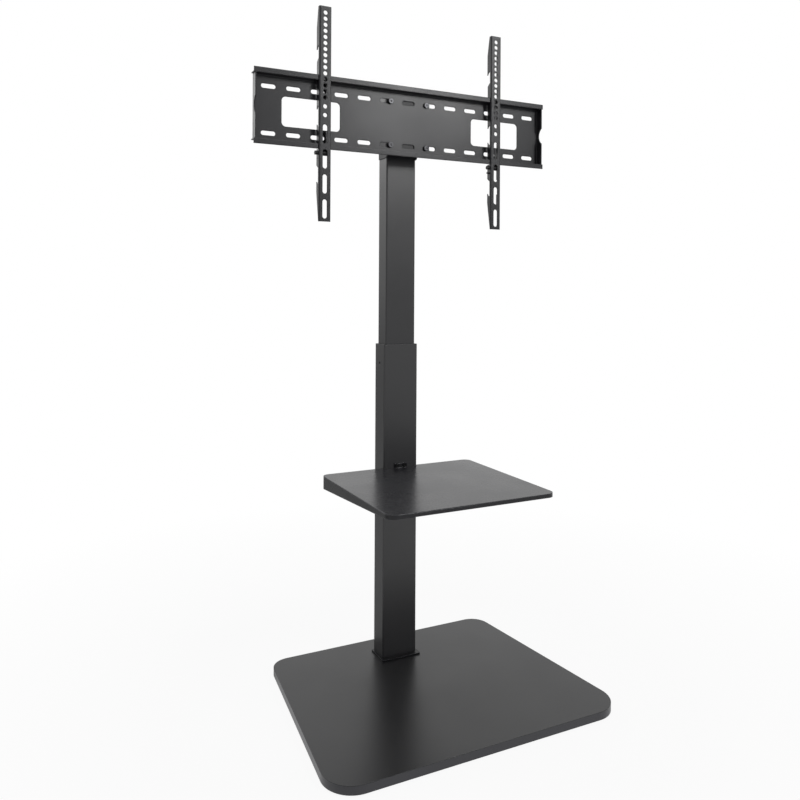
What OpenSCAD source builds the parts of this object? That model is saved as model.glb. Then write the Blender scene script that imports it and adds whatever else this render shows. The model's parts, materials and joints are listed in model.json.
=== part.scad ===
// Floor stand for a television. A base board carries a telescopic column with a shelf in front of it.
// At the top of the column a folded rail plate carries two hook-on arms, and the screen bolts to the arms.
// Millimetres. Z is up, -Y is the front, and the origin is the centre of the footprint on the floor.

/* [Base] */
// Width between the base board's sides where they would meet its front edge
base_front_w = 591; // [540:1:640]
// Width between the base board's sides where they would meet its back edge
base_back_w = 504; // [450:1:540]
// Depth of the base board from front to back
base_depth = 454; // [430:1:500]
// Thickness of the base board
base_thick = 15; // [12:1:22]
// Radius of the two front corners in plan
base_front_r = 55; // [30:1:80]
// Radius of the two back corners in plan
base_back_r = 38; // [20:1:60]
// Diameter of one floor glide
glide_d = 30; // [20:1:36]
// Height of one floor glide, the gap under the board
glide_h = 3; // [2:0.5:6]

/* [Column] */
// Distance of the column's centre line in front of the base board's back edge
column_inset = 71.5; // [62:0.5:107]
// Width of the lower tube across the stand
lower_w = 78; // [74:1:86]
// Depth of the lower tube from front to back
lower_d = 46; // [42:1:50]
// Length of the lower tube
lower_len = 656; // [620:1:720]
// Wall thickness of both tubes
tube_wall = 2; // [1.5:0.1:2.4]
// Outer corner radius of the lower tube
lower_r = 3.2; // [3:0.1:4.5]
// Room between the tubes at each side, which holds the lock nuts
side_room = 3; // [2.6:0.1:3.4]
// Room between the tubes at the front and at the back
face_room = 1.5; // [1.2:0.1:2]
// Length of the upper tube
upper_len = 755; // [735:1:790]
// Length of the upper tube inside the lower tube at the lowest setting
upper_inset = 227; // [200:1:232]
// Distance of the lock screws below the top of the lower tube
lock_drop = 40; // [38:1:60]
// Thickness of the foot plate under the lower tube
foot_thick = 3; // [2:0.5:5]
// Width of the foot plate's rim beside the tube
foot_rim = 5; // [4:0.5:10]
// Width of the foot plate's rim in front of the tube
foot_front = 12; // [4:0.5:20]

/* [Shelf] */
// Width of the shelf
shelf_w = 346; // [300:1:400]
// Depth of the shelf in front of the column
shelf_d = 306.5; // [260:0.5:340]
// Length of the shelf beside the column, behind the column's front face
shelf_lap = 12.5; // [6:0.5:16]
// Distance of the shelf's top face below the top of the lower tube
shelf_drop = 261.5; // [259:0.5:340]
// Thickness of the shelf's sheet
shelf_sheet = 2; // [1.5:0.1:3]
// Height of the folded rim at the back of the shelf
shelf_rear_h = 26.5; // [25:0.5:40]
// Height of the folded rim at the front of the shelf
shelf_front_h = 7.5; // [6:0.5:12]
// Radius of the shelf's front corners in plan
shelf_front_r = 18; // [16:1:40]
// Radius of the shelf's back corners in plan
shelf_back_r = 15; // [8:1:24]
// Width of the upright tab behind the shelf
shelf_tab_w = 30; // [28:1:50]
// Height of the upright tab above the shelf
shelf_tab_h = 11; // [10.5:0.5:16]

/* [Rail plate] */
// Width of the rail plate
rail_w = 660; // [650:1:700]
// Height of the rail plate over both lips
rail_h = 144.5; // [140:0.5:150]
// Distance of the rail plate's lower edge below the top of the mast
rail_drop = 138.5; // [133:0.5:143]
// Thickness of the rail plate's sheet
rail_sheet = 2; // [1.6:0.1:2.4]
// Depth of the rail's folds in front of its web
fold_depth = 16; // [15:0.5:20]
// Height of the lip at the front of each fold
lip_h = 10; // [8:0.5:12]
// Length that both lips run past each end fold
lip_over = 2.5; // [0:0.5:3]
// Distance from the upper tube's front to the back of the rail's web
stand_off = 29.5; // [26:0.5:44]
// Number of slots in each row
slot_count = 13; // [11:2:13]
// Distance between neighbouring slots
slot_pitch = 50; // [46:1:52]
// Length of one slot
slot_len = 28.9; // [26:0.1:32]
// Height of one slot
slot_h = 8.6; // [8:0.1:10]
// Distance between the two rows of slots
row_gap = 90; // [86:1:92]
// Height of the lower row above the rail's lower edge
row_rise = 23.8; // [22:0.1:27]
// Distance of each window's centre from the middle of the rail
window_x = 213; // [205:0.5:225]
// Width of one window
window_w = 121; // [100:1:130]
// Height of one window
window_h = 58; // [40:1:60]
// Corner radius of one window
window_r = 8.5; // [5:0.5:14]
// Radius of the finger notch in each end fold
notch_r = 19.6; // [14:0.1:26]
// Depth of the finger notch in each end fold
notch_depth = 10; // [6:0.5:12]
// Height of the finger notch above the middle between the rows of slots
notch_lift = 5.2; // [0:0.1:8]

/* [Arms] */
// Distance of the left arm from the middle of the rail
left_arm_x = 191.5; // [120:0.5:290]
// Distance of the right arm from the middle of the rail
right_arm_x = 204.5; // [120:0.5:290]
// Width of one arm
arm_w = 25.2; // [24:0.1:28]
// Length of the arm above the rail's upper edge
arm_rise = 134; // [128:1:140]
// Thickness of the arm's sheet
arm_sheet = 2; // [1.6:0.1:2.4]
// Room between the arm's front sheet and the rail's lips
lip_room = 1.5; // [1.2:0.1:3]
// Depth of the arm's upper side flange
upper_flange = 15.5; // [14.5:0.5:16.5]
// Depth of the arm's other side flanges
lower_flange = 14; // [13:0.5:14.5]
// Depth of the side flange in the notches
slim_flange = 5.2; // [4:0.1:6]
// Distance of the first screw hole below the top of the arm
hole_inset = 12.4; // [11:0.1:15]
// Distance between neighbouring screw holes
hole_pitch = 11.85; // [11:0.05:12.2]
// Number of screw holes in the close row
hole_count = 15; // [12:1:15]
// Diameter of one screw hole
hole_d = 8.5; // [6.5:0.1:9.5]
// Distance between the first screw hole and the lowest one, half of the tall screw pattern
hole_step = 200; // [198:1:202]
// Distance between the end centres of one arm slot
arm_slot_run = 28; // [24:1:36]
// Width of one arm slot
arm_slot_w = 9.4; // [8:0.1:10]
// Distance between neighbouring arm slots
arm_slot_pitch = 48.8; // [46:0.1:52]
// Distance of the highest slot's lower end centre below the first screw hole
arm_slot_drop = 250.8; // [248:0.1:254]
// Distance of the lowest slot's lower end centre above the bottom of the arm
tail_inset = 10.6; // [8:0.1:20]

/* [Fasteners] */
// Diameter of the foot bolts
foot_bolt_d = 8; // [6:1:8]
// Distance of the foot bolts from the column's centre, across the stand
foot_bolt_x = 22; // [18:1:24]
// Distance of the foot bolts from the column's centre, front to back
foot_bolt_y = 11; // [9:0.5:12]
// Diameter of the rail screws
rail_screw_d = 6; // [5:1:6]
// Diameter of the lock screws
lock_screw_d = 6; // [5:1:8]
// Diameter of the shelf screws
shelf_screw_d = 5; // [4:0.5:5]
// Diameter of the latch bolts
latch_bolt_d = 5; // [4:0.5:5]
// Radius of the latch around its bolt
latch_r = 5; // [4.6:0.1:5.2]

/* [Hidden] */
$fn = 64;

// Colours
coat = "#2b2b2d";
board_black = "#242426";
plastic = "#18181a";
zinc = "#8d9094";

// Clearances: between moving pieces, around a sliding tube, and around a bolt, pin or plug
move_gap = 0.3;
slide_gap = 0.1;
pin_gap = 0.05;
bolt_gap = 0.2;
// Small overrun of a cut past the face that it opens
past = 1;

// Heights
board_z = glide_h;
foot_z = board_z + base_thick;
lower_z = foot_z + foot_thick;
lower_top = lower_z + lower_len;
lock_z = lower_top - lock_drop;
shelf_z = lower_top - shelf_drop;
upper_z = lower_top - upper_inset;
upper_top = upper_z + upper_len;
rail_z = upper_top - rail_drop;

// Tubes
upper_r_less = 0.5;
lower_in_w = lower_w - 2 * tube_wall;
lower_in_d = lower_d - 2 * tube_wall;
lower_in_r = lower_r - tube_wall;
column_y = base_depth / 2 - column_inset;
upper_w = lower_in_w - 2 * side_room;
upper_d = lower_in_d - 2 * face_room;
upper_r = lower_r - upper_r_less;
upper_in_r = upper_r - tube_wall;
column_front = column_y - lower_d / 2;
upper_front = column_y - upper_d / 2;

// Hexagon sockets, as shares of the screw's diameter and of its head's height
socket_share = 0.64;
grub_socket_share = 0.5;
socket_depth_share = 0.55;

// Base fasteners
glide_spigot_d = 6;
glide_spigot_h = 6;
glide_margin = 6.5;
glide_front_share = 0.27;
glide_side_share = 0.43;
glide_back_share = 0.38;
pocket_rim = 10;
pocket_r = 6;
pocket_h = 7;
foot_washer_d = 16;
foot_washer_t = 1.6;
foot_head_d = 14;
foot_head_h = 4.4;
foot_nut_flats = 13;
foot_nut_h = 6.5;
foot_bolt_end = 1;
foot_back = 1;

// Column details
guide_h = 28;
guide_recess = 0.5;
lock_nut_side = 14;
lock_nut_t = side_room - move_gap - slide_gap;
lock_recess = 0.6;
glide_collar_h = 12;
plug_h = 18;
cap_h = 2;

// Shelf details
shelf_screw_head_d = 8.5;
shelf_screw_head_h = 3;
tab_screw_x = 9;
tab_screw_edge = 0.2;
rim_screw_x = 20;
rim_screw_drop = 14;
insert_d = 7;
insert_len = 11;
shelf_screw_end = 2;
gusset_x = 32;
gusset_t = 2;
gusset_len_share = 0.5;
gusset_tip_h = 5;
gusset_rise = 2;
shelf_back = column_front + shelf_lap;
shelf_notch_w = lower_w + 2 * move_gap;

// Head
plate_t = 3;
plate_side = 9.5;
plate_rise = 14.7;
cheek_t = 2;
cheek_top_gap = 6;
cheek_back_gap = 3;
cheek_lift = 10.5;
cheek_step = 7.3;
bracket_nut_flats = 10;
bracket_nut_h = 5;
bracket_nut_room = 0.5;
rail_screw_x = upper_w / 2 + cheek_t + bracket_nut_room + bracket_nut_flats / 2;
rail_head_d = 10.5;
rail_head_h = 3.3;
rail_washer_d = 12;
rail_washer_t = 1.2;
rail_screw_end = 1;
rail_back = upper_front - stand_off;
web_front = rail_back - rail_sheet;
lip_front = web_front - fold_depth;
rail_top = rail_z + rail_h;
low_fold = rail_z + lip_h;
high_fold = rail_top - lip_h;
web_h = high_fold - low_fold + 2 * rail_sheet;
row_low = rail_z + row_rise;
row_high = row_low + row_gap;
row_mid = (row_low + row_high) / 2;

// Arms, with depths counted back from the arm's front face
lip_depth = arm_sheet + lip_room;
arm_front = lip_front - lip_depth;
arm_top = rail_top + arm_rise;
arm_bend = 2.6;
first_hole = arm_top - hole_inset;
last_hole = first_hole - (hole_count - 1) * hole_pitch;
step_hole = first_hole - hole_step;
half_hole = (last_hole + step_hole) / 2;
arm_slot_count = 4;
// Heights of the slots' lower end centres
arm_slots = [for (i = [0:arm_slot_count - 1]) first_hole - arm_slot_drop - i * arm_slot_pitch];
arm_bottom = min(arm_slots) - tail_inset;
hook_slot = rail_sheet + 2 * move_gap;
top_slim = 7.5;
top_taper = 40;
bottom_slim = 3;
bottom_taper = 58;
notch_r_share = 1.08;
notch_ramp = 7;
crown_tip = 51;
crown_foot = 26;
waist_tip = 66;
waist_foot = 96;
tail_tip = 30.5;
tail_foot = 63.5;

// Latches
latch_drop = 7.5;
latch_z = rail_z - latch_drop;
latch_depth = arm_sheet + move_gap + latch_r;
latch_nut_flats = 8;
latch_nut_h = 4;
latch_w = arm_w - 2 * arm_sheet - latch_nut_h - 2 * move_gap;
tongue_depth = lip_depth + rail_sheet + move_gap;
tongue_t = 3.5;
tongue_top_gap = 0.8;
latch_head_d = 8;
latch_head_h = 6;
stop_drop = 11.5;
stop_d = 3.6;
stop_len = 7.5;
// How far the right arm's pin stands out, while the left arm's is pushed in
stop_out = 5.5;

// A rectangle with four equal round corners, centred
module round_rect(w, d, r) {
    square([w - 2 * r, d], center = true);
    square([w, d - 2 * r], center = true);
    for (x = [-1, 1], y = [-1, 1])
        translate([x * (w / 2 - r), y * (d / 2 - r)])
            circle(r = r);
}

// A board outline whose sides lean in towards the back, drawn from y = 0 to y = depth.
// inset moves the whole outline inwards, about the same corner centres.
module board_outline(front_w, back_w, depth, front_r, back_r, inset = 0) {
    lean = atan((front_w - back_w) / 2 / depth);
    front = [front_w / 2 - front_r / tan((90 - lean) / 2), front_r];
    back = [back_w / 2 - back_r / tan((90 + lean) / 2), depth - back_r];
    side = [cos(lean), sin(lean)];
    fr = front_r - inset;
    br = back_r - inset;
    half = [front - [0, fr], front + fr * side, back + br * side, back + [0, br]];
    left = [for (i = [len(half) - 1:-1:0]) [-half[i].x, half[i].y]];
    polygon(concat(half, left));
    for (s = [-1, 1]) {
        translate([s * front.x, front.y]) circle(r = fr);
        translate([s * back.x, back.y]) circle(r = br);
    }
}

// A slot with round ends along X, by its end centres' distance and its width
module slot_2d(run, w) {
    square([run, w], center = true);
    for (s = [-1, 1])
        translate([s * run / 2, 0])
            circle(d = w);
}

// A tube with round corners
module box_tube(w, d, r, wall, h) {
    linear_extrude(height = h)
        difference() {
            round_rect(w, d, r);
            round_rect(w - 2 * wall, d - 2 * wall, r - wall);
        }
}

// Turns an outline of depth and height into a solid that is w wide, centred on X
module along_x(w) {
    rotate([90, 0, 90])
        translate([0, 0, -w / 2])
            linear_extrude(height = w)
                children();
}

// Turns an outline of X and height into a sheet whose front face is at y
module facing_front(y, t) {
    translate([0, y + t, 0])
        rotate([90, 0, 0])
            linear_extrude(height = t)
                children();
}

// A rod along -Y or +Y from y to y + l
module rod_y(y, l, d) {
    translate([0, y + l, 0])
        rotate([90, 0, 0])
            cylinder(d = d, h = l);
}

// A rod along X from x to x + l
module rod_x(x, l, d) {
    translate([x, 0, 0])
        rotate([0, 90, 0])
            cylinder(d = d, h = l);
}

// A hexagon by its width over the flats
module hexagon(flats) {
    circle(d = flats / cos(30), $fn = 6);
}

function mirrored(p) = [p, [-p.x, p.y]];

glide_places = concat(
    mirrored([glide_front_share * base_front_w, -base_depth / 2 + glide_d / 2 + glide_margin]),
    mirrored([glide_side_share * base_back_w, 0]),
    mirrored([glide_back_share * base_back_w, base_depth / 2 - glide_d])
);
foot_bolt_places = [
    for (x = [-1, 1], y = [-1, 1]) [x * foot_bolt_x, column_y + y * foot_bolt_y]
];
shelf_screw_places = [
    for (s = [-1, 1]) [s * tab_screw_x, shelf_z + shelf_tab_h - tab_screw_edge - shelf_screw_head_d / 2],
    for (s = [-1, 1]) [s * rim_screw_x, shelf_z - rim_screw_drop]
];
rail_screw_places = [
    for (s = [-1, 1], z = [row_low, row_high]) [s * rail_screw_x, z]
];

// Base

module base_board() {
    color(board_black)
        difference() {
            translate([0, -base_depth / 2, board_z])
                linear_extrude(height = base_thick)
                    board_outline(base_front_w, base_back_w, base_depth, base_front_r, base_back_r);
            for (p = foot_bolt_places)
                translate([p.x, p.y, board_z - past])
                    cylinder(d = foot_bolt_d + 2 * bolt_gap, h = base_thick + 2 * past);
            translate([0, column_y, board_z - past])
                linear_extrude(height = pocket_h + past)
                    round_rect(2 * (foot_bolt_x + pocket_rim), 2 * (foot_bolt_y + pocket_rim), pocket_r);
            for (p = glide_places)
                translate([p.x, p.y, board_z - past])
                    cylinder(d = glide_spigot_d + 2 * slide_gap, h = glide_spigot_h + 2 * past);
        }
}

module floor_glides() {
    color(plastic)
        for (p = glide_places)
            translate([p.x, p.y, 0]) {
                cylinder(d = glide_d, h = glide_h);
                cylinder(d = glide_spigot_d, h = glide_h + glide_spigot_h);
            }
}

module foot_plate() {
    color(coat)
        difference() {
            translate([0, column_y + (foot_back - foot_front) / 2, foot_z])
                linear_extrude(height = foot_thick)
                    round_rect(lower_w + 2 * foot_rim, lower_d + foot_front + foot_back, lower_r);
            for (p = foot_bolt_places)
                translate([p.x, p.y, foot_z - past])
                    cylinder(d = foot_bolt_d + 2 * bolt_gap, h = foot_thick + 2 * past);
        }
}

module foot_bolts() {
    head_top = board_z + pocket_h - foot_washer_t;
    length = foot_washer_t + base_thick - pocket_h + foot_thick + foot_nut_h + foot_bolt_end;
    color(zinc)
        for (p = foot_bolt_places)
            translate([p.x, p.y, head_top])
                difference() {
                    union() {
                        cylinder(d = foot_bolt_d, h = length);
                        translate([0, 0, -foot_head_h])
                            cylinder(d = foot_head_d, h = foot_head_h);
                    }
                    translate([0, 0, -foot_head_h - past])
                        linear_extrude(height = foot_head_h * socket_depth_share + past)
                            hexagon(foot_bolt_d * socket_share);
                }
}

module foot_washers() {
    color(zinc)
        for (p = foot_bolt_places)
            translate([p.x, p.y, board_z + pocket_h - foot_washer_t])
                difference() {
                    cylinder(d = foot_washer_d, h = foot_washer_t);
                    translate([0, 0, -past])
                        cylinder(d = foot_bolt_d + 2 * bolt_gap, h = foot_washer_t + 2 * past);
                }
}

module foot_nuts() {
    color(zinc)
        for (p = foot_bolt_places)
            translate([p.x, p.y, lower_z])
                linear_extrude(height = foot_nut_h)
                    difference() {
                        hexagon(foot_nut_flats);
                        circle(d = foot_bolt_d + 2 * pin_gap);
                    }
}

// Column

module lower_column() {
    color(coat)
        difference() {
            translate([0, column_y, lower_z])
                box_tube(lower_w, lower_d, lower_r, tube_wall, lower_len);
            translate([0, column_y, lock_z])
                rod_x(-lower_w / 2 - past, lower_w + 2 * past, lock_screw_d + 2 * pin_gap);
            for (p = shelf_screw_places)
                translate([p.x, 0, p.y])
                    rod_y(column_front - past, tube_wall + 2 * past, insert_d + 2 * pin_gap);
        }
}

module column_guide() {
    color(plastic)
        translate([0, column_y, lower_top - guide_recess - guide_h])
            linear_extrude(height = guide_h)
                difference() {
                    round_rect(lower_in_w - 2 * pin_gap, lower_in_d - 2 * pin_gap, lower_in_r);
                    round_rect(upper_w + 2 * slide_gap, upper_d + 2 * slide_gap, upper_r + slide_gap);
                }
}

module lock_nuts() {
    color(zinc)
        for (s = [-1, 1])
            translate([s * (lower_in_w - lock_nut_t) / 2, column_y, lock_z])
                difference() {
                    cube([lock_nut_t, lock_nut_side, lock_nut_side], center = true);
                    rod_x(-lock_nut_t, 2 * lock_nut_t, lock_screw_d + 2 * pin_gap);
                }
}

module lock_screws() {
    tip = lower_in_w / 2 - lock_nut_t;
    end = lower_w / 2 - lock_recess;
    color(plastic)
        for (s = [0, 180])
            translate([0, column_y, lock_z])
                rotate([0, 0, s])
                    difference() {
                        rod_x(tip, end - tip, lock_screw_d);
                        translate([(tip + end) / 2, 0, 0])
                            rotate([0, 90, 0])
                                linear_extrude(height = end - tip)
                                    hexagon(lock_screw_d * grub_socket_share);
                    }
}

module upper_column() {
    color(coat)
        translate([0, column_y, upper_z])
            box_tube(upper_w, upper_d, upper_r, tube_wall, upper_len);
}

// A plug inside the upper tube, drawn upwards from z = 0
module tube_plug(h) {
    linear_extrude(height = h)
        difference() {
            plug_w = upper_w - 2 * tube_wall - 2 * slide_gap;
            plug_d = upper_d - 2 * tube_wall - 2 * slide_gap;
            round_rect(plug_w, plug_d, upper_in_r);
            round_rect(plug_w - 2 * tube_wall, plug_d - 2 * tube_wall, upper_in_r);
        }
}

module mast_glide() {
    color(plastic)
        translate([0, column_y, upper_z]) {
            tube_plug(plug_h);
            translate([0, 0, -glide_collar_h])
                linear_extrude(height = glide_collar_h)
                    round_rect(lower_in_w - 2 * slide_gap, lower_in_d - 2 * slide_gap, lower_in_r);
        }
}

module mast_cap() {
    color(plastic)
        translate([0, column_y, upper_top]) {
            translate([0, 0, -plug_h])
                tube_plug(plug_h);
            linear_extrude(height = cap_h)
                round_rect(upper_w, upper_d, upper_r);
        }
}

// Head

module head_bracket() {
    plate_bottom = low_fold;
    plate_top = row_high + plate_rise;
    plate_h = plate_top - plate_bottom;
    plate_w = 2 * (rail_screw_x + plate_side);
    cheek_top = plate_top - cheek_top_gap;
    cheek_low = rail_z + cheek_lift;
    cheek_back = upper_front + upper_d - cheek_back_gap;
    color(coat) {
        difference() {
            facing_front(rail_back, plate_t)
                translate([0, plate_bottom + plate_h / 2])
                    square([plate_w, plate_h], center = true);
            for (p = rail_screw_places)
                translate([p.x, 0, p.y])
                    rod_y(rail_back - past, plate_t + 2 * past, rail_screw_d + 2 * bolt_gap);
        }
        for (s = [-1, 1])
            translate([s * (upper_w + cheek_t) / 2, 0, 0])
                along_x(cheek_t)
                    polygon([
                        [rail_back + plate_t, cheek_low],
                        [rail_back + plate_t, cheek_top],
                        [cheek_back, cheek_top],
                        [cheek_back, cheek_low - cheek_step],
                        [upper_front, cheek_low - cheek_step],
                        [upper_front - cheek_step, cheek_low]
                    ]);
    }
}

module bracket_nuts() {
    color(zinc)
        for (p = rail_screw_places)
            facing_front(rail_back + plate_t, bracket_nut_h)
                translate(p)
                    difference() {
                        rotate(30) hexagon(bracket_nut_flats);
                        circle(d = rail_screw_d + 2 * pin_gap);
                    }
}

module rail_web() {
    difference() {
        translate([-rail_w / 2, low_fold - rail_sheet])
            square([rail_w, web_h]);
        for (i = [0:slot_count - 1], z = [row_low, row_high])
            translate([(i - (slot_count - 1) / 2) * slot_pitch, z])
                slot_2d(slot_len - slot_h, slot_h);
        for (s = [-1, 1])
            translate([s * window_x, row_mid])
                round_rect(window_w, window_h, window_r);
    }
}

// The upper fold in section: it runs forward from the web and ends in a lip that stands up
module high_folds() {
    translate([lip_front, high_fold])
        square([fold_depth + rail_sheet, rail_sheet]);
    translate([lip_front, high_fold])
        square([rail_sheet, lip_h]);
}

// The lower fold in section: it runs forward from the web and ends in a lip that hangs down
module low_folds() {
    translate([lip_front, low_fold - rail_sheet])
        square([fold_depth + rail_sheet, rail_sheet]);
    translate([lip_front, rail_z])
        square([rail_sheet, lip_h]);
}

module rail_end() {
    difference() {
        translate([lip_front, low_fold - rail_sheet])
            square([fold_depth + rail_sheet, web_h]);
        translate([lip_front + notch_depth - notch_r, row_mid + notch_lift])
            circle(r = notch_r);
    }
}

module rail_plate() {
    color(coat) {
        facing_front(web_front, rail_sheet)
            rail_web();
        along_x(rail_w + 2 * lip_over) {
            high_folds();
            low_folds();
        }
        for (s = [-1, 1])
            translate([s * (rail_w - rail_sheet) / 2, 0, 0])
                along_x(rail_sheet)
                    rail_end();
    }
}

module rail_screws() {
    head_back = web_front - rail_washer_t;
    length = rail_washer_t + rail_sheet + plate_t + bracket_nut_h + rail_screw_end;
    color(zinc)
        for (p = rail_screw_places)
            translate([p.x, 0, p.y])
                difference() {
                    union() {
                        rod_y(head_back, length, rail_screw_d);
                        rod_y(head_back - rail_head_h, rail_head_h, rail_head_d);
                    }
                    facing_front(head_back - rail_head_h - past, rail_head_h * socket_depth_share + past)
                        hexagon(rail_screw_d * socket_share);
                }
}

module rail_washers() {
    color(zinc)
        for (p = rail_screw_places)
            facing_front(web_front - rail_washer_t, rail_washer_t)
                translate(p)
                    difference() {
                        circle(d = rail_washer_d);
                        circle(d = rail_screw_d + 2 * bolt_gap);
                    }
}

// Arms

// The round end of a notch whose mouth is at the height tip, with up 1 for its upper end and -1 for its lower
// end. It reaches in under the flange's back edge and leaves a pointed tip there.
module undercut(depth, tip, up) {
    r = (depth - slim_flange) * notch_r_share;
    rise = sqrt(r * r - (depth - slim_flange) * (depth - slim_flange));
    intersection() {
        translate([slim_flange, tip - up * rise])
            circle(r = r);
        translate([slim_flange, tip - (up > 0 ? rise : r - rise)])
            square([r, r]);
    }
}

// Side view of an arm, depth by height, with its notches and the slots that pass the rail's folds
module arm_side() {
    difference() {
        polygon([
            [0, arm_bottom],
            [0, arm_top],
            [top_slim, arm_top],
            [upper_flange, arm_top - top_taper],
            [upper_flange, rail_top + crown_tip],
            [lower_flange, rail_top + crown_tip],
            [lower_flange, arm_bottom + bottom_taper],
            [bottom_slim, arm_bottom]
        ]);
        // Notch over the hook
        undercut(upper_flange, rail_top + crown_tip, 1);
        polygon([
            [slim_flange, rail_top + crown_tip],
            [slim_flange, rail_top + crown_foot + notch_ramp],
            [lower_flange + past, rail_top + crown_foot],
            [upper_flange + past, rail_top + crown_foot],
            [upper_flange + past, rail_top + crown_tip]
        ]);
        // Notch in front of the web
        undercut(lower_flange, rail_top - waist_tip, 1);
        undercut(lower_flange, rail_top - waist_foot, -1);
        translate([slim_flange, rail_top - waist_foot])
            square([lower_flange, waist_foot - waist_tip]);
        // Notch under the latch
        undercut(lower_flange, rail_z - tail_foot, -1);
        polygon([
            [slim_flange, rail_z - tail_foot],
            [slim_flange, rail_z - tail_tip - notch_ramp],
            [lower_flange + past, rail_z - tail_tip],
            [lower_flange + past, rail_z - tail_foot]
        ]);
        // Upper fold: the hook's slot over the lip, and the way past the fold
        translate([lip_depth - move_gap, high_fold - move_gap])
            square([hook_slot, lip_h + 2 * move_gap]);
        translate([lip_depth - move_gap, high_fold - move_gap])
            square([upper_flange, rail_sheet + 2 * move_gap]);
        // Lower fold and lip
        translate([lip_depth - move_gap, rail_z - move_gap])
            square([upper_flange, lip_h + 2 * move_gap]);
    }
}

// Cross-section of an arm: a channel that is open at the back, with bent corners
module arm_section() {
    difference() {
        union() {
            translate([0, upper_flange / 2])
                round_rect(arm_w, upper_flange, arm_bend);
            translate([-arm_w / 2, upper_flange / 2])
                square([arm_w, upper_flange / 2]);
        }
        translate([-arm_w / 2 + arm_sheet, arm_sheet])
            square([arm_w - 2 * arm_sheet, upper_flange]);
    }
}

module arm_holes() {
    for (i = [0:hole_count - 1])
        translate([0, first_hole - i * hole_pitch])
            circle(d = hole_d);
    for (z = [half_hole, step_hole])
        translate([0, z])
            circle(d = hole_d);
    for (z = arm_slots)
        translate([0, z + arm_slot_run / 2])
            rotate(90)
                slot_2d(arm_slot_run, arm_slot_w);
}

// One arm, centred on X
module arm() {
    translate([0, arm_front, 0])
        difference() {
            intersection() {
                translate([0, 0, arm_bottom])
                    linear_extrude(height = arm_top - arm_bottom)
                        arm_section();
                along_x(arm_w)
                    arm_side();
            }
            facing_front(-past, arm_sheet + 2 * past)
                arm_holes();
            translate([0, latch_depth, latch_z])
                rod_x(-arm_w, 2 * arm_w, latch_bolt_d + 2 * pin_gap);
            translate([0, latch_depth, latch_z - stop_drop])
                rod_x(-arm_w, arm_w, stop_d + 2 * pin_gap);
        }
}

module latch() {
    tongue_top = low_fold - rail_sheet - tongue_top_gap;
    translate([-latch_nut_h / 2, arm_front, 0])
        along_x(latch_w)
            difference() {
                union() {
                    translate([latch_depth, latch_z])
                        circle(r = latch_r);
                    translate([tongue_depth, latch_z])
                        square([tongue_t, tongue_top - latch_z]);
                }
                translate([latch_depth, latch_z])
                    circle(d = latch_bolt_d + 2 * pin_gap);
            }
}

// The latch's bolt, with its head on the arm's left side and its end in the right flange
module latch_bolt() {
    translate([0, arm_front + latch_depth, latch_z])
        difference() {
            union() {
                rod_x(-arm_w / 2, arm_w, latch_bolt_d);
                rod_x(-arm_w / 2 - latch_head_h, latch_head_h, latch_head_d);
            }
            translate([-arm_w / 2 - latch_head_h - past, 0, 0])
                rotate([0, 90, 0])
                    linear_extrude(height = latch_head_h * socket_depth_share + past)
                        hexagon(latch_bolt_d * socket_share);
        }
}

// The bolt's nut, inside the arm against its right flange
module latch_nut() {
    translate([arm_w / 2 - arm_sheet - latch_nut_h, arm_front + latch_depth, latch_z])
        rotate([0, 90, 0])
            linear_extrude(height = latch_nut_h)
                difference() {
                    hexagon(latch_nut_flats);
                    circle(d = latch_bolt_d + 2 * pin_gap);
                }
}

// The pin below the latch, in the arm's left flange, standing out by the given length
module stop_pin(out) {
    translate([0, arm_front + latch_depth, latch_z - stop_drop])
        rod_x(-arm_w / 2 - out, stop_len, stop_d);
}

module left_arm() {
    color(coat) translate([-left_arm_x, 0, 0]) arm();
}

module left_latch() {
    color(zinc) translate([-left_arm_x, 0, 0]) latch();
}

module left_latch_bolt() {
    color(zinc) translate([-left_arm_x, 0, 0]) latch_bolt();
}

module left_latch_nut() {
    color(zinc) translate([-left_arm_x, 0, 0]) latch_nut();
}

module left_stop_pin() {
    color(zinc) translate([-left_arm_x, 0, 0]) stop_pin(0);
}

module right_arm() {
    color(coat) translate([right_arm_x, 0, 0]) arm();
}

module right_latch() {
    color(zinc) translate([right_arm_x, 0, 0]) latch();
}

module right_latch_bolt() {
    color(zinc) translate([right_arm_x, 0, 0]) latch_bolt();
}

module right_latch_nut() {
    color(zinc) translate([right_arm_x, 0, 0]) latch_nut();
}

module right_stop_pin() {
    color(zinc) translate([right_arm_x, 0, 0]) stop_pin(stop_out);
}

// Shelf

// The shelf in plan, with the notch that takes the column's front part
module shelf_outline(inset) {
    difference() {
        translate([0, column_front - shelf_d])
            board_outline(shelf_w, shelf_w, shelf_d + shelf_lap, shelf_front_r, shelf_back_r, inset);
        translate([-shelf_notch_w / 2 - inset, column_front - inset])
            square([shelf_notch_w + 2 * inset, shelf_lap + inset + past]);
    }
}

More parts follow.
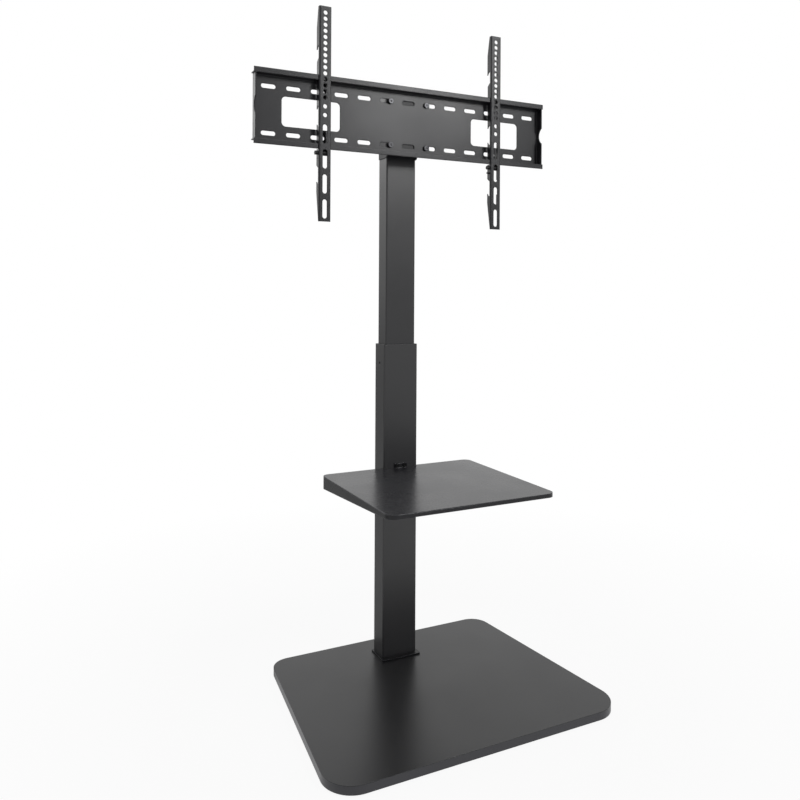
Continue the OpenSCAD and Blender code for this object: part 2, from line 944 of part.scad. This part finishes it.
module shelf_tray() {
    color(coat)
        difference() {
            union() {
                difference() {
                    translate([0, 0, shelf_z - shelf_rear_h])
                        linear_extrude(height = shelf_rear_h)
                            shelf_outline(0);
                    translate([0, 0, shelf_z - shelf_rear_h - past])
                        linear_extrude(height = shelf_rear_h - shelf_sheet + past)
                            shelf_outline(shelf_sheet);
                    along_x(shelf_w + 2 * past)
                        polygon([
                            [column_front - shelf_d - past, shelf_z - shelf_front_h],
                            [shelf_back, shelf_z - shelf_rear_h],
                            [shelf_back, shelf_z - shelf_rear_h - past],
                            [column_front - shelf_d - past, shelf_z - shelf_rear_h - past]
                        ]);
                }
                facing_front(column_front - shelf_sheet, shelf_sheet)
                    translate([-shelf_tab_w / 2, shelf_z - shelf_sheet])
                        square([shelf_tab_w, shelf_tab_h + shelf_sheet]);
            }
            for (p = shelf_screw_places)
                translate([p.x, 0, p.y])
                    rod_y(column_front - shelf_sheet - past, shelf_sheet + 2 * past,
                        shelf_screw_d + 2 * bolt_gap);
        }
}

module shelf_gussets() {
    rear = column_front - shelf_sheet;
    top = shelf_z - shelf_sheet;
    drop = shelf_rear_h - shelf_sheet - gusset_rise;
    color(coat)
        for (s = [-1, 1])
            translate([s * gusset_x, 0, 0])
                along_x(gusset_t)
                    polygon([
                        [rear, top],
                        [rear, top - drop],
                        [rear - shelf_d * gusset_len_share, top - gusset_tip_h],
                        [rear - shelf_d * gusset_len_share, top]
                    ]);
}

module shelf_screws() {
    head_back = column_front - shelf_sheet;
    color(zinc)
        for (p = shelf_screw_places)
            translate([p.x, 0, p.y])
                difference() {
                    union() {
                        rod_y(head_back, shelf_sheet + insert_len + shelf_screw_end, shelf_screw_d);
                        rod_y(head_back - shelf_screw_head_h, shelf_screw_head_h, shelf_screw_head_d);
                    }
                    facing_front(head_back - shelf_screw_head_h - past,
                        shelf_screw_head_h * socket_depth_share + past)
                        hexagon(shelf_screw_d * socket_share);
                }
}

module shelf_inserts() {
    color(zinc)
        for (p = shelf_screw_places)
            facing_front(column_front, insert_len)
                translate(p)
                    difference() {
                        circle(d = insert_d);
                        circle(d = shelf_screw_d + 2 * pin_gap);
                    }
}

base_board();
floor_glides();
foot_plate();
foot_bolts();
foot_washers();
foot_nuts();
lower_column();
column_guide();
lock_nuts();
lock_screws();
upper_column();
mast_glide();
mast_cap();
head_bracket();
bracket_nuts();
rail_plate();
rail_screws();
rail_washers();
left_arm();
left_latch();
left_latch_bolt();
left_latch_nut();
left_stop_pin();
right_arm();
right_latch();
right_latch_bolt();
right_latch_nut();
right_stop_pin();
shelf_tray();
shelf_gussets();
shelf_screws();
shelf_inserts();
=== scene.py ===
"""Finishes, camera and studio for the floor stand.

Lengths are metres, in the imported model's own frame. Angles are radians, and colours are linear.
"""
import json
import math

import bpy
from mathutils import Matrix, Quaternion, Vector


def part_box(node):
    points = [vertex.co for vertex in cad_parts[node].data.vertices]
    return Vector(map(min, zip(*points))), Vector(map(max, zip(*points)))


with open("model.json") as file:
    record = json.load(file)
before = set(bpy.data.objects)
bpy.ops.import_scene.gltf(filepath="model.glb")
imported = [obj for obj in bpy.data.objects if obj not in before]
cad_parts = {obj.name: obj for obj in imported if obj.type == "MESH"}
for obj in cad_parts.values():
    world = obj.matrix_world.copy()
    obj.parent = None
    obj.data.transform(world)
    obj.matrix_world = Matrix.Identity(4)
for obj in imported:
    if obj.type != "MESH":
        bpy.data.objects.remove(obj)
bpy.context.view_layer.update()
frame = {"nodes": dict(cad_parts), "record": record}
nodes = frame["nodes"]
MM = 0.001


# Node graphs

# How far an edge turns the normal, as a cosine, where it begins to show and where it shows in full
EDGE_TURN = (0.995, 0.85)
BEVEL_SAMPLES = 4
NOISE_ROUGHNESS = 0.55


class Graph:
    """The nodes of a material or a world: adds them and joins their sockets."""

    def __init__(self, owner):
        owner.use_nodes = True
        self.owner = owner
        self.tree = owner.node_tree
        self.tree.nodes.clear()

    def add(self, kind, inputs=None, **settings):
        """Adds a node. Its inputs are values or the sockets of other nodes."""
        node = self.tree.nodes.new(kind)
        for key, value in settings.items():
            setattr(node, key, value)
        for key, value in (inputs or {}).items():
            if isinstance(value, bpy.types.NodeSocket):
                self.tree.links.new(value, node.inputs[key])
            else:
                node.inputs[key].default_value = value
        return node

    def math(self, operation, a, b=0.0, clamp=False):
        node = self.add("ShaderNodeMath", {0: a, 1: b}, operation=operation, use_clamp=clamp)
        return node.outputs[0]

    def remap(self, value, source, target=(0.0, 1.0)):
        """Maps the source range to the target range, and keeps the result inside it."""
        inputs = {"Value": value, "From Min": source[0], "From Max": source[1],
                  "To Min": target[0], "To Max": target[1]}
        return self.add("ShaderNodeMapRange", inputs).outputs[0]

    def weigh(self, a, b, share):
        """Adds share of a and the rest of b."""
        return self.math("ADD", self.math("MULTIPLY", a, share),
                         self.math("MULTIPLY", b, 1 - share))

    def shift(self, value, mask, by):
        """Changes the value by an amount where mask is 1."""
        return self.math("ADD", value, self.math("MULTIPLY", mask, by))

    def blend(self, factor, a, b):
        """A colour between a, where factor is 0, and b, where it is 1."""
        return self.add("ShaderNodeMix", {0: factor, 6: a, 7: b}, data_type="RGBA").outputs[2]

    def vary(self, factor, tint, tone, low, high):
        """A colour between low and high times the tone."""
        return self.blend(factor, tint(tone * low), tint(tone * high))

    def cover(self, color, coat, mask, share):
        """Mixes share of the coat's colour into the colour where mask is 1."""
        return self.blend(self.math("MULTIPLY", mask, share), color, coat)

    def place(self):
        return self.add("ShaderNodeTexCoord").outputs["Object"]

    def normal(self):
        return self.add("ShaderNodeNewGeometry").outputs["Normal"]

    def along(self, axis, vector):
        return self.add("ShaderNodeSeparateXYZ", {0: vector}).outputs[axis]

    def noise(self, size, detail=2.0, stretch=(1.0, 1.0, 1.0)):
        """Noise whose grains are about size across."""
        mapping = self.add("ShaderNodeMapping", {"Vector": self.place(), "Scale": stretch})
        inputs = {"Vector": mapping.outputs[0], "Scale": 1 / size,
                  "Detail": detail, "Roughness": NOISE_ROUGHNESS}
        return self.add("ShaderNodeTexNoise", inputs).outputs[0]

    def bump(self, height, normal, strength, distance):
        inputs = {"Height": height, "Normal": normal, "Strength": strength, "Distance": distance}
        return self.add("ShaderNodeBump", inputs).outputs[0]

    def edges(self, radius):
        """A mask that is 1 on sharp edges and 0 on flat faces, and the rounded normal."""
        rounded = self.add("ShaderNodeBevel", {"Radius": radius}, samples=BEVEL_SAMPLES).outputs[0]
        turn = self.add("ShaderNodeVectorMath", {0: rounded, 1: self.normal()},
                        operation="DOT_PRODUCT").outputs["Value"]
        return self.remap(turn, EDGE_TURN), rounded

    def surface(self, color, roughness, normal, metallic=0.0, specular=0.5):
        """Ends the graph in a Principled surface, and returns the material."""
        inputs = {"Base Color": color, "Roughness": roughness, "Normal": normal,
                  "Metallic": metallic, "Specular IOR Level": specular}
        shader = self.add("ShaderNodeBsdfPrincipled", inputs)
        self.add("ShaderNodeOutputMaterial", {"Surface": shader.outputs[0]})
        return self.owner


# Finishes

METAL_BLUE = 1.06
COAT_BLUE = 1.22

# How much the normal points up or down where the board's faces end and where its sides begin
SIDE_TURN = (0.75, 0.65)

# How far from a face of the board its edge band's joint begins, and where it shows in full
JOINT_STARTS = 1.0 * MM
JOINT_FULL = 0.8 * MM


def gray(value, blue=METAL_BLUE):
    """A neutral tone with a trace of blue."""
    return (value, value, value * blue, 1.0)


def coat_gray(value):
    """The bluer black of the coats and the board."""
    return gray(value, COAT_BLUE)


WHITE = gray(1.0, blue=1.0)


def around(middle, reach):
    return (middle - reach, middle + reach)


def powder_coat(name, tone, rough, peel=0.10, edge_wear_and_highlight=0.05, specular=0.5, bend=1.2 * MM):
    """Black powder coat: orange peel, a fine texture, slow changes of gloss, and paler edges that
    are partly wear and partly a painted highlight.

    peel is the strength of both bumps, and bend the radius to which the edges are rounded.
    """
    g = Graph(bpy.data.materials.new(name))
    cloud = g.noise(size=90 * MM, detail=3)
    speck = g.noise(size=1.1 * MM, detail=4)
    mix = g.weigh(cloud, speck, share=0.5)
    color = g.vary(mix, coat_gray, tone, low=0.80, high=1.20)
    edge, rounded = g.edges(radius=bend)
    # Paler edges: partly wear, partly a painted highlight along the rounded edges
    color = g.cover(color, coat_gray(edge_wear_and_highlight), mask=edge, share=0.75)
    roughness = g.remap(mix, source=(0.3, 0.7), target=around(rough, 0.05))
    roughness = g.shift(roughness, mask=edge, by=-0.06)
    peeled = g.bump(g.noise(size=2.6 * MM), rounded, strength=peel, distance=0.3 * MM)
    textured = g.bump(g.noise(size=0.5 * MM), peeled, strength=peel, distance=0.06 * MM)
    return g.surface(color, roughness, textured, specular=specular)


def laminate(name, tone, rough, bottom, top):
    """Black laminate with a fine pearl grain, and a painted highlight on its rounded edges.

    Its upright sides are a paler edge band, with a thin joint at the heights bottom and top.
    """
    g = Graph(bpy.data.materials.new(name))
    cloud = g.noise(size=160 * MM, detail=3)
    pearl = g.noise(size=0.9 * MM, detail=3)
    mix = g.weigh(cloud, pearl, share=0.6)
    face = g.vary(mix, coat_gray, tone, low=0.85, high=1.15)
    side = g.remap(g.math("ABSOLUTE", g.along("Z", g.normal())), SIDE_TURN)
    middle = (bottom + top) / 2
    half = (top - bottom) / 2
    off_middle = g.math("ABSOLUTE", g.math("SUBTRACT", g.along("Z", g.place()), middle))
    joint = g.remap(off_middle, source=(half - JOINT_STARTS, half - JOINT_FULL))
    band = g.vary(joint, coat_gray, tone, low=6.0, high=2.0)
    color = g.blend(side, face, band)
    edge, rounded = g.edges(radius=1.2 * MM)
    # Painted highlight: a paler tone over the board's rounded edges
    color = g.cover(color, coat_gray(tone * 3.2), mask=edge, share=0.8)
    roughness = g.remap(mix, source=(0.35, 0.65), target=around(rough, 0.04))
    roughness = g.shift(roughness, mask=side, by=0.05)
    grained = g.bump(pearl, rounded, strength=0.12, distance=0.08 * MM)
    return g.surface(color, roughness, grained)


def moulded(name, tone, rough):
    """Black moulded plastic with a fine eroded grain."""
    g = Graph(bpy.data.materials.new(name))
    grain = g.noise(size=0.7 * MM, detail=3)
    cloud = g.noise(size=25 * MM)
    mix = g.math("MULTIPLY", grain, cloud)
    color = g.vary(cloud, gray, tone, low=0.85, high=1.2)
    edge, rounded = g.edges(radius=0.6 * MM)
    # Paler edges: partly wear, partly a painted highlight
    color = g.cover(color, gray(tone * 2), mask=edge, share=0.4)
    roughness = g.remap(mix, source=(0.1, 0.5), target=around(rough, 0.06))
    grained = g.bump(grain, rounded, strength=0.25, distance=0.08 * MM)
    return g.surface(color, roughness, grained)


def plated(name, tone, rough, edge_wear_and_highlight):
    """Turned or pressed steel under a thin plating: fine turning marks, and brighter edges that are
    partly worn plating and partly a painted highlight.
    """
    g = Graph(bpy.data.materials.new(name))
    marks = g.noise(size=3 * MM, detail=3, stretch=(1.0, 1.0, 14.0))
    cloud = g.noise(size=6 * MM, detail=3)
    color = g.vary(cloud, gray, tone, low=0.82, high=1.15)
    edge, rounded = g.edges(radius=0.4 * MM)
    # Brighter edges: partly worn plating, partly a painted highlight, such as the rail screws'
    # bright rims
    color = g.cover(color, gray(edge_wear_and_highlight), mask=edge, share=0.7)
    roughness = g.remap(marks, source=(0.3, 0.7), target=around(rough, 0.08))
    marked = g.bump(marks, rounded, strength=0.10, distance=0.05 * MM)
    return g.surface(color, roughness, marked, metallic=1.0)


COATS = {
    # The foot plate is a darker copy of the coat, a painted shade for its shadowed sides, and its
    # pale edges are a painted highlight
    "foot_coat": dict(tone=0.004, rough=0.36, edge_wear_and_highlight=0.20, specular=0.25, bend=0.6 * MM),
    "lower_coat": dict(tone=0.010, rough=0.38, specular=0.9),
    "upper_coat": dict(tone=0.010, rough=0.34, specular=0.8),
    "bracket_coat": dict(tone=0.010, rough=0.46, peel=0.16),
    "rail_coat": dict(tone=0.012, rough=0.34, peel=0.12, edge_wear_and_highlight=0.015, bend=2.4 * MM),
    "arm_coat": dict(tone=0.012, rough=0.36, peel=0.12, edge_wear_and_highlight=0.015, bend=2.4 * MM),
    "shelf_coat": dict(tone=0.012, rough=0.28, peel=0.12, specular=0.38, bend=3.2 * MM),
    # The latch is darker than the other coats: painted shade for the latch in the shadow inside the
    # arms' slots
    "latch_steel": dict(tone=0.005, rough=0.45, specular=0.25, bend=0.4 * MM),
    "black_fasteners": dict(tone=0.004, rough=0.35, peel=0.05, specular=0.3, bend=0.3 * MM),
}
PLASTICS = {
    "glides": dict(tone=0.02, rough=0.6),
    "guide_plastic": dict(tone=0.018, rough=0.5),
}
PLATINGS = {
    # The rail screws' bright rims are a painted highlight
    "rail_fasteners": dict(tone=0.05, rough=0.28, edge_wear_and_highlight=0.5),
    "hidden_fasteners": dict(tone=0.55, rough=0.34, edge_wear_and_highlight=0.8),
}


def make_finishes():
    bottom, top = (Vector(corner).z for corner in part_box("base_board"))
    board = laminate("base_laminate", tone=0.005, rough=0.33, bottom=bottom, top=top)
    finishes = {"base_laminate": board}
    for recipe, table in ((powder_coat, COATS), (moulded, PLASTICS), (plated, PLATINGS)):
        for name, values in table.items():
            finishes[name] = recipe(name, **values)
    return finishes


def dress_nodes():
    """Gives each node its slot's finish. The rail's screws are darker than the hidden fasteners."""
    finishes = make_finishes()
    for entry in frame["record"]["subparts"]:
        slot = "rail_fasteners" if entry["node"] == "rail_screws" else entry["material_slot"]
        materials = nodes[entry["node"]].data.materials
        materials.clear()
        materials.append(finishes[slot])


# Camera, solved from the photograph's straight lines

FOCAL_PX = 777.6
IMAGE_PX = 800
CENTER_PX = (404.1, 288.8)
CAMERA_AT = Vector((-0.7335, -1.3405, 0.7943))
YAW = 0.4656
ROLL = 0.0054
SENSOR_WIDTH = 36.0
NEAREST = 0.05


def make_camera():
    data = bpy.data.cameras.new("camera")
    data.sensor_width = SENSOR_WIDTH
    data.lens = FOCAL_PX / IMAGE_PX * SENSOR_WIDTH
    data.shift_x = 0.5 - CENTER_PX[0] / IMAGE_PX
    data.shift_y = CENTER_PX[1] / IMAGE_PX - 0.5
    data.clip_start = NEAREST
    ahead = Vector((math.sin(YAW), math.cos(YAW), 0))
    level = Vector((math.cos(YAW), -math.sin(YAW), 0))
    up = Vector((0, 0, 1))
    right = level * math.cos(ROLL) + up * math.sin(ROLL)
    top = up * math.cos(ROLL) - level * math.sin(ROLL)
    turn = Matrix((right, top, -ahead)).transposed().to_4x4()
    camera = bpy.data.objects.new("camera", data)
    camera.matrix_world = Matrix.Translation(CAMERA_AT) @ turn
    bpy.context.scene.collection.objects.link(camera)
    bpy.context.scene.camera = camera


# Studio. A pair of shares belongs to the range above it, and goes from the first to the second
# between the range's two ends.

FULL = 1.0
NONE = 0.0

FLOOR_SIZE = 30.0
FLOOR_TONES = (0.59, 0.61)
FLOOR_CLOUD = 0.4

# The floor's own white for the camera, by distance from the origin. The rest of it is lit, and so
# takes the stand's shadow.
SEEN_RANGE = (0.5, 1.4)
SEEN_SHARES = (0.93, FULL)

# The floor's white that surfaces mirror, by depth: around the stand and far in front of it
POOL_RANGE = (-0.5, 0.3)
POOL_SHARES = (0.75, 0.1)
FAR_RANGE = (-1.6, -0.8)
FAR_SHARES = (0.5, 0.75)

# It is full right beside the board, by distance from the origin and by depth
BESIDE_RANGE = (0.36, 0.5)
BESIDE_DEPTHS = (0.15, 0.3)

# The world's light on the object
AMBIENT = 0.32

# The world's white that surfaces mirror, by how far a direction points back: less in the room in
# front of the stand, and full behind it. The horizon has one share of its own all around, which
# gives way to that of the room by how far a direction points up.
ROOM_RANGE = (-0.4, 0.3)
ROOM_SHARES = (0.3, FULL)
HORIZON_RANGE = (0.0, 0.15)
HORIZON_SHARE = 0.45


def make_floor():
    bpy.ops.mesh.primitive_plane_add(size=FLOOR_SIZE)
    floor = bpy.context.object
    floor.name = "floor"
    g = Graph(bpy.data.materials.new("floor"))
    dark, light = (gray(tone, blue=1.0) for tone in FLOOR_TONES)
    shade = g.blend(g.noise(size=FLOOR_CLOUD), dark, light)
    diffuse = g.add("ShaderNodeBsdfDiffuse", {"Color": shade})
    white = g.add("ShaderNodeEmission", {"Color": WHITE, "Strength": FULL})
    rays = g.add("ShaderNodeLightPath").outputs
    away = g.add("ShaderNodeVectorMath", {0: g.place()}, operation="LENGTH").outputs["Value"]
    depth = g.along("Y", g.place())
    seen = g.math("MULTIPLY", rays["Is Camera Ray"], g.remap(away, SEEN_RANGE, SEEN_SHARES))
    pool = g.math("MINIMUM", g.remap(depth, POOL_RANGE, POOL_SHARES),
                  g.remap(depth, FAR_RANGE, FAR_SHARES))
    beside = g.math("MULTIPLY", g.remap(away, BESIDE_RANGE, (FULL, NONE)),
                    g.remap(depth, BESIDE_DEPTHS, (FULL, NONE)))
    mirroring = g.math("ADD", rays["Is Glossy Ray"], rays["Is Transmission Ray"])
    mirrored = g.math("MULTIPLY", mirroring, g.math("MAXIMUM", pool, beside))
    share = g.math("ADD", seen, mirrored, clamp=True)
    mix = g.add("ShaderNodeMixShader", {0: share, 1: diffuse.outputs[0], 2: white.outputs[0]})
    g.add("ShaderNodeOutputMaterial", {"Surface": mix.outputs[0]})
    floor.data.materials.append(g.owner)


def make_world():
    world = bpy.data.worlds.new("studio")
    bpy.context.scene.world = world
    g = Graph(world)
    ambient = g.add("ShaderNodeBackground", {"Color": WHITE, "Strength": AMBIENT})
    white = g.add("ShaderNodeBackground", {"Color": WHITE, "Strength": FULL})
    rays = g.add("ShaderNodeLightPath").outputs
    direction = g.add("ShaderNodeTexCoord").outputs["Generated"]
    room = g.remap(g.along("Y", direction), ROOM_RANGE, ROOM_SHARES)
    above = g.remap(g.along("Z", direction), HORIZON_RANGE)
    lit = g.add("ShaderNodeMix", {0: above, 2: HORIZON_SHARE, 3: room}).outputs[0]
    mirrored = g.math("MULTIPLY", rays["Is Glossy Ray"], lit)
    share = g.math("ADD", rays["Is Camera Ray"], mirrored, clamp=True)
    share = g.math("ADD", share, rays["Is Transmission Ray"], clamp=True)
    mix = g.add("ShaderNodeMixShader", {0: share, 1: ambient.outputs[0], 2: white.outputs[0]})
    g.add("ShaderNodeOutputWorld", {"Surface": mix.outputs[0]})


def make_softbox(name, place, target, size, power, roll=0.0):
    data = bpy.data.lights.new(name, "AREA")
    data.shape = "RECTANGLE"
    data.size, data.size_y = size
    data.energy = power
    light = bpy.data.objects.new(name, data)
    light.location = place
    light.visible_camera = False
    aim = (Vector(target) - Vector(place)).to_track_quat("-Z", "Y")
    light.rotation_euler = (aim @ Quaternion((0, 0, 1), roll)).to_euler()
    bpy.context.scene.collection.objects.link(light)


def make_lamps():
    make_softbox("key", place=(1.10, -1.90, 2.32), target=(0, 0.09, 1.14), size=(0.5, 1.4),
                 power=19, roll=math.radians(-8))
    make_softbox("fill", place=(1.10, -1.90, 1.80), target=(0, 0.09, 1.10), size=(0.5, 0.5),
                 power=5)
    make_softbox("back_left", place=(-1.15, 2.4, 1.75), target=(0, 0.15, 1.0), size=(0.6, 0.6),
                 power=2)
    make_softbox("top", place=(0.0, 0.3, 3.1), target=(0, 0, 0.6), size=(2.0, 2.0), power=30)


dress_nodes()
make_camera()
make_floor()
make_world()
make_lamps()
bpy.context.scene.view_settings.view_transform = "Standard"
